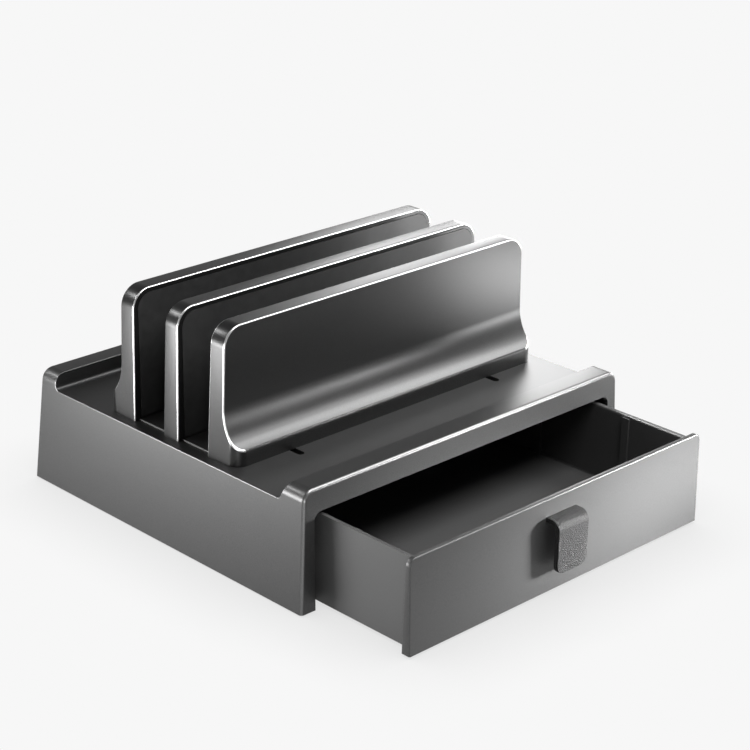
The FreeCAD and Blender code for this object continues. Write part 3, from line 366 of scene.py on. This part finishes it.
# %% merging, rounding and shading
MERGE_WITHIN = 0.002 * MM
FLAT_WITHIN = math.radians(0.2)
OUTLINE_ROUNDING = 0.7 * MM


def merge_triangles(work):
    bmesh.ops.remove_doubles(work, verts=work.verts, dist=MERGE_WITHIN)
    bmesh.ops.dissolve_limit(work, angle_limit=FLAT_WITHIN, verts=work.verts, edges=work.edges)


def round_outline(work, node):
    line = inner_outline(work)
    bmesh.ops.bevel(work, geom=line, affect="EDGES", offset=OUTLINE_ROUNDING, segments=2,
                    profile=0.5, material=-1)
    print(node, "bevels", len(line), "edges of its inner face")


def mark_bevels(work, node):
    """Gives the bevel faces the second of the piece's two finishes, the lighter lacquer of the
    painted highlight.
    """
    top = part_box(node)[1][2]
    bevels = [face for face in work.faces if is_bevel(face, top)]
    for face in bevels:
        face.material_index = 1
    print(node, "has", len(bevels), "bevel faces")


def shade_smooth(work):
    for face in work.faces:
        face.smooth = True
    for edge in work.edges:
        if len(edge.link_faces) == 2:
            edge.smooth = edge.calc_face_angle() < SHARP


# %% [markdown]
# Where the solid's shape is right, its smooth copy is all that a moulded piece needs. The
# copy stands for the CAD node, wears the node's finish and rides on the same body. Weighted
# normals keep the big faces flat, so that only the bevels and roundings bend the light. The
# hidden hardware and the runners keep the solids' own meshes and only get a finish.

# %% smooth copies of the moulded pieces
def keep_flat_faces(piece, weight):
    weighted = piece.modifiers.new("flat_faces_first", "WEIGHTED_NORMAL")
    weighted.keep_sharp = True
    weighted.weight = weight


def smooth_copy(node):
    """A merged, smooth-shaded copy that stands for a CAD node and rides on its body."""
    source = nodes[node]
    mesh = source.data.copy()
    mesh.name = f"{node}_smooth"
    work = bmesh.new()
    work.from_mesh(mesh)
    merge_triangles(work)
    if node in ("front_fin", "rear_fin"):
        round_outline(work, node)
    if node in BEVELLED:
        mark_bevels(work, node)
    shade_smooth(work)
    mesh.materials.clear()
    work.to_mesh(mesh)
    work.free()
    mesh.materials.append(finishes[slot_of[node]])
    # The second finish is the painted highlight on the bevel faces.
    if node in BEVELLED:
        mesh.materials.append(BEVELLED[node])
    piece = bpy.data.objects.new(f"{node}_dressed", mesh)
    bpy.context.scene.collection.objects.link(piece)
    keep_flat_faces(piece, 100)
    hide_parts(node)
    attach(piece, source["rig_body"])
    print(piece.name, len(mesh.polygons), "faces")


SMOOTH_SLOTS = ("housing_plastic", "fin_plastic", "front_plastic", "drawer_plastic", "silicone",
                "foot_rubber")
for node, slot in slot_of.items():
    if slot in SMOOTH_SLOTS:
        smooth_copy(node)
    elif slot != "tab_leather":
        nodes[node].data.materials.clear()
        nodes[node].data.materials.append(finishes[slot])


# %% [markdown]
# The pull is a strap of two leather plies glued back to back. Its tail is clamped inside
# the drawer, it comes out through a slit in the front, folds over and hangs down. A strap
# could be a bent grid, but drawing it by one travelling edge is closer to how it is made:
# the edge moves straight, spins around a fold, and moves straight again. The strap's sizes
# are written in millimetres.

# %% a travelling edge
PULL = {"middle": -2.5, "width": 24.0, "ply": 1.42, "seam": 0.16, "tail_y": -140.7,
        "tail_low": 31.2, "tail_bend": 3.4, "top": 46.0, "front_y": -156.15, "fold": 6.0,
        "low": 15.0, "corner": 5.0, "eased": 0.35}


def far_end(geometry):
    """The row of edges that an extrusion or a spin has just drawn."""
    fresh = {part for part in geometry if isinstance(part, bmesh.types.BMVert)}
    return [part for part in geometry if isinstance(part, bmesh.types.BMEdge)
            and all(vertex in fresh for vertex in part.verts)]


def draw_straight(work, row, way):
    drawn = bmesh.ops.extrude_edge_only(work, edges=row)["geom"]
    moved = [part for part in drawn if isinstance(part, bmesh.types.BMVert)]
    bmesh.ops.translate(work, vec=Vector(way) * MM, verts=moved)
    return far_end(drawn)


def draw_fold(work, row, centre_y, centre_z, steps):
    """Turns the row a quarter around an axis that runs across the strap."""
    return far_end(bmesh.ops.spin(
        work, geom=row, cent=Vector((0, centre_y, centre_z)) * MM, axis=(1, 0, 0),
        dvec=(0, 0, 0), angle=math.pi / 2, steps=steps, use_merge=False,
        use_duplicate=False)["geom_last"])


print("strap", PULL["width"], "mm wide, of plies", PULL["ply"], "mm thick")


# %% [markdown]
# Each ply is drawn as a sheet without thickness, because its lower corners are easiest to
# round then. After that it is thickened and its cut edges are eased, as a leather worker
# bevels and burnishes them, so that they catch a soft line of light. The outer ply stands
# for the CAD pull, and the inner one lies behind it, with a seam of 0.16 mm between them.

# %% leather pull
def draw_strap(work, depth):
    """Draws the strap's sheet at a depth below its outer side and rounds its lower corners."""
    half = PULL["width"] / 2
    shoulder_y = PULL["tail_y"] - PULL["tail_bend"]
    fold_y = PULL["front_y"] + PULL["fold"]
    ends = [work.verts.new(Vector((PULL["middle"] + side, PULL["tail_y"] - depth,
                                   PULL["tail_low"])) * MM) for side in (-half, half)]
    row = [work.edges.new(ends)]
    row = draw_straight(work, row, (0, 0, PULL["top"] - PULL["tail_bend"] - PULL["tail_low"]))
    row = draw_fold(work, row, shoulder_y, PULL["top"] - PULL["tail_bend"], steps=8)
    row = draw_straight(work, row, (0, fold_y - shoulder_y, 0))
    row = draw_fold(work, row, fold_y, PULL["top"] - PULL["fold"], steps=14)
    row = draw_straight(work, row, (0, 0, PULL["low"] - PULL["top"] + PULL["fold"]))
    bmesh.ops.bevel(work, geom=list(row[0].verts), affect="VERTICES",
                    offset=PULL["corner"] * MM, segments=8, profile=0.5, material=-1)


def leather_ply(name, depth):
    """One ply whose outer side lies a depth below the strap's outer side."""
    work = bmesh.new()
    draw_strap(work, depth)
    bmesh.ops.recalc_face_normals(work, faces=work.faces)
    bmesh.ops.solidify(work, geom=work.faces, thickness=PULL["ply"] * MM)
    cut_edges = [edge for edge in work.edges if edge.calc_face_angle(0.0) > math.radians(60)]
    bmesh.ops.bevel(work, geom=cut_edges, affect="EDGES", offset=PULL["eased"] * MM,
                    segments=3, profile=0.5, material=-1)
    bmesh.ops.recalc_face_normals(work, faces=work.faces)
    for face in work.faces:
        face.smooth = True
    mesh = bpy.data.meshes.new(name)
    work.to_mesh(mesh)
    work.free()
    mesh.materials.append(finishes["tab_leather"])
    ply = bpy.data.objects.new(name, mesh)
    bpy.context.scene.collection.objects.link(ply)
    keep_flat_faces(ply, 50)
    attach(ply, nodes["pull_tab"]["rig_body"])
    print(name, len(mesh.polygons), "faces")
    return ply


outer_ply = leather_ply("pull_outer_ply", 0.0)
inner_ply = leather_ply("pull_inner_ply", PULL["ply"] + PULL["seam"])
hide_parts("pull_tab")


# %% [markdown]
# The stand is shown on a plain pale table. Lit by lamps alone, a floor turns grey away from
# them. Here the camera, and what mirrors in the satin lacquer, see it evenly pale, darkened
# only by the soft shadow where the stand shades it, while it still throws real light back.

# %% pale floor
PALE = "#f7f7f7"
FLOOR_REACH = 8.0
SHADOW_REACH = 0.06
SHADOW_DARKEST = 0.72


def pale_floor():
    work = bmesh.new()
    bmesh.ops.create_grid(work, x_segments=1, y_segments=1, size=FLOOR_REACH)
    mesh = bpy.data.meshes.new("pale_floor")
    work.to_mesh(mesh)
    work.free()
    floor = bpy.data.objects.new("pale_floor", mesh)
    bpy.context.scene.collection.objects.link(floor)
    material = new_material("pale_floor")
    tree = material.node_tree
    shade = add(tree, "ShaderNodeAmbientOcclusion", {"samples": 12, "Distance": SHADOW_REACH})
    shadow = add(tree, "ShaderNodeMapRange", {"To Min": SHADOW_DARKEST},
                 Value=shade.outputs["AO"])
    seen = add(tree, "ShaderNodeEmission", {"Color": linear(PALE)},
               Strength=shadow.outputs["Result"])
    lit = add(tree, "ShaderNodeBsdfDiffuse", {"Color": linear("#f0f0f0")})
    rays = add(tree, "ShaderNodeLightPath")
    either = add(tree, "ShaderNodeMath", {"operation": "MAXIMUM"},
                 i0=rays.outputs["Is Camera Ray"], i1=rays.outputs["Is Glossy Ray"])
    any_view = add(tree, "ShaderNodeMath", {"operation": "MAXIMUM"},
                   i0=either.outputs["Value"], i1=rays.outputs["Is Transmission Ray"])
    mix = add(tree, "ShaderNodeMixShader", i0=any_view.outputs["Value"],
              i1=lit.outputs["BSDF"], i2=seen.outputs["Emission"])
    mesh.materials.append(finish_with(material, mix))


pale_floor()


# %% [markdown]
# Satin lacquer shows little but what it mirrors, so each lamp has a job and most are small.
# Those at the front right stand near the right ends of the faces that look forward, which
# therefore grow lighter to the right. Those at the rear right give the deck and the fin tops
# their sheen. The upper front box draws the bevels, the one over the tray fills it, and those
# at the left light the fin ends, their corners and the left side.

# %% soft boxes
STAND_MIDDLE = Vector((0.0, 0.02, 0.06))


def soft_box(name, watts, place, size, aim=STAND_MIDDLE, spread=180.0):
    """A lamp with a width and a height; a small spread is a honeycomb grid in front of it."""
    lamp = bpy.data.lights.new(name, "AREA")
    lamp.shape = "RECTANGLE"
    lamp.size, lamp.size_y = size
    lamp.energy = watts
    lamp.spread = math.radians(spread)
    holder = bpy.data.objects.new(name, lamp)
    holder.location = place
    facing = Vector(aim) - holder.location
    holder.rotation_euler = facing.to_track_quat("-Z", "Y").to_euler()
    holder.visible_camera = False
    bpy.context.scene.collection.objects.link(holder)
    print(name, "at", round(facing.length, 2), "m,", watts, "W")


soft_box("drawer_box", 0.55, place=(0.3, -0.33, 0.07), size=(0.12, 0.04),
         aim=(0.06, -0.15, 0.01), spread=30.0)
soft_box("fin_box", 0.022, place=(0.27, -0.14, 0.045), size=(0.1, 0.04),
         aim=(0.12, 0.0, 0.1), spread=50.0)
soft_box("slot_box", 0.2, place=(0.35, -0.04, 0.1), size=(0.08, 0.06),
         aim=(0.08, 0.03, 0.1), spread=60.0)
soft_box("deck_box", 0.055, place=(0.25, 0.1, 0.15), size=(0.1, 0.08),
         aim=(0.1, -0.05, 0.06), spread=90.0)
soft_box("tops_box", 0.4, place=(0.44, 0.4, 0.37), size=(0.12, 0.1))
soft_box("rear_right_box", 0.8, place=(0.8, 0.6, 0.42), size=(0.5, 0.3))
soft_box("upper_front_box", 12.0, place=(0.65, -0.36, 0.72), size=(0.45, 0.35))
soft_box("tray_box", 8.0, place=(0.05, -0.35, 0.6), size=(0.3, 0.3), aim=(0.0, -0.1, 0.0))
soft_box("rear_left_box", 2.5, place=(-0.38, 0.18, 0.05), size=(0.25, 0.1))
soft_box("corner_box", 4.0, place=(-0.5, 0.65, 0.62), size=(0.2, 0.12))
soft_box("low_front_box", 1.5, place=(-0.5, -0.5, 0.03), size=(0.12, 0.05))


# %% [markdown]
# The room around the lamps is a plain, even light that opens up the shadows. Rays from the
# camera see it as pale as the floor, so the picture has no horizon from any side.

# %% world
def studio_world(room_strength):
    world = bpy.data.worlds.new("studio")
    world.use_nodes = True
    tree = world.node_tree
    tree.nodes.clear()
    seen = add(tree, "ShaderNodeBackground", {"Color": linear(PALE)})
    room = add(tree, "ShaderNodeBackground", {"Strength": room_strength})
    rays = add(tree, "ShaderNodeLightPath")
    view = add(tree, "ShaderNodeMath", {"operation": "MAXIMUM"},
               i0=rays.outputs["Is Camera Ray"], i1=rays.outputs["Is Transmission Ray"])
    mix = add(tree, "ShaderNodeMixShader", i0=view.outputs["Value"],
              i1=room.outputs["Background"], i2=seen.outputs["Background"])
    add(tree, "ShaderNodeOutputWorld", Surface=mix.outputs["Shader"])
    bpy.context.scene.world = world
    print("room light", room_strength)


studio_world(0.38)


# %% [markdown]
# The camera was solved from the straight edges of the picture: a long lens, turned 45
# degrees from the front and looking down 22 degrees, with a slight roll. Its axes are
# worked out from those angles and written straight into its matrix.

# %% camera
CAMERA = {"azimuth": -44.74, "elevation": 22.34, "roll": 1.2, "aim_mm": (0.0, 23.15, 38.5),
          "distance": 1.2429, "shift_right": 0.0167, "shift_up": 0.0309}
SENSOR_WIDTH = 36.0
PICTURE_PIXELS = 750
FOCAL_PIXELS = 2111.61


def photo_camera():
    azimuth, elevation, roll = (math.radians(CAMERA[name])
                                for name in ("azimuth", "elevation", "roll"))
    back = Vector((math.sin(azimuth) * math.cos(elevation),
                   -math.cos(azimuth) * math.cos(elevation), math.sin(elevation)))
    right = Vector((math.cos(azimuth), math.sin(azimuth), 0.0))
    up = back.cross(right)
    place = (Vector(CAMERA["aim_mm"]) * MM + back * CAMERA["distance"]
             + right * CAMERA["shift_right"] + up * CAMERA["shift_up"])
    turned_right = right * math.cos(roll) + up * math.sin(roll)
    turned_up = up * math.cos(roll) - right * math.sin(roll)
    data = bpy.data.cameras.new("photo_camera")
    data.sensor_width = SENSOR_WIDTH
    data.lens = SENSOR_WIDTH * FOCAL_PIXELS / PICTURE_PIXELS
    camera = bpy.data.objects.new("photo_camera", data)
    axes = Matrix((turned_right, turned_up, back)).transposed()
    camera.matrix_world = Matrix.Translation(place) @ axes.to_4x4()
    bpy.context.scene.collection.objects.link(camera)
    bpy.context.scene.camera = camera
    print("lens", round(data.lens, 1), "mm")


photo_camera()
bpy.context.scene.view_settings.view_transform = "Standard"


# %% [markdown]
# At the end the view layer is brought up to date.

# %% bring the view layer up to date
bpy.context.view_layer.update()
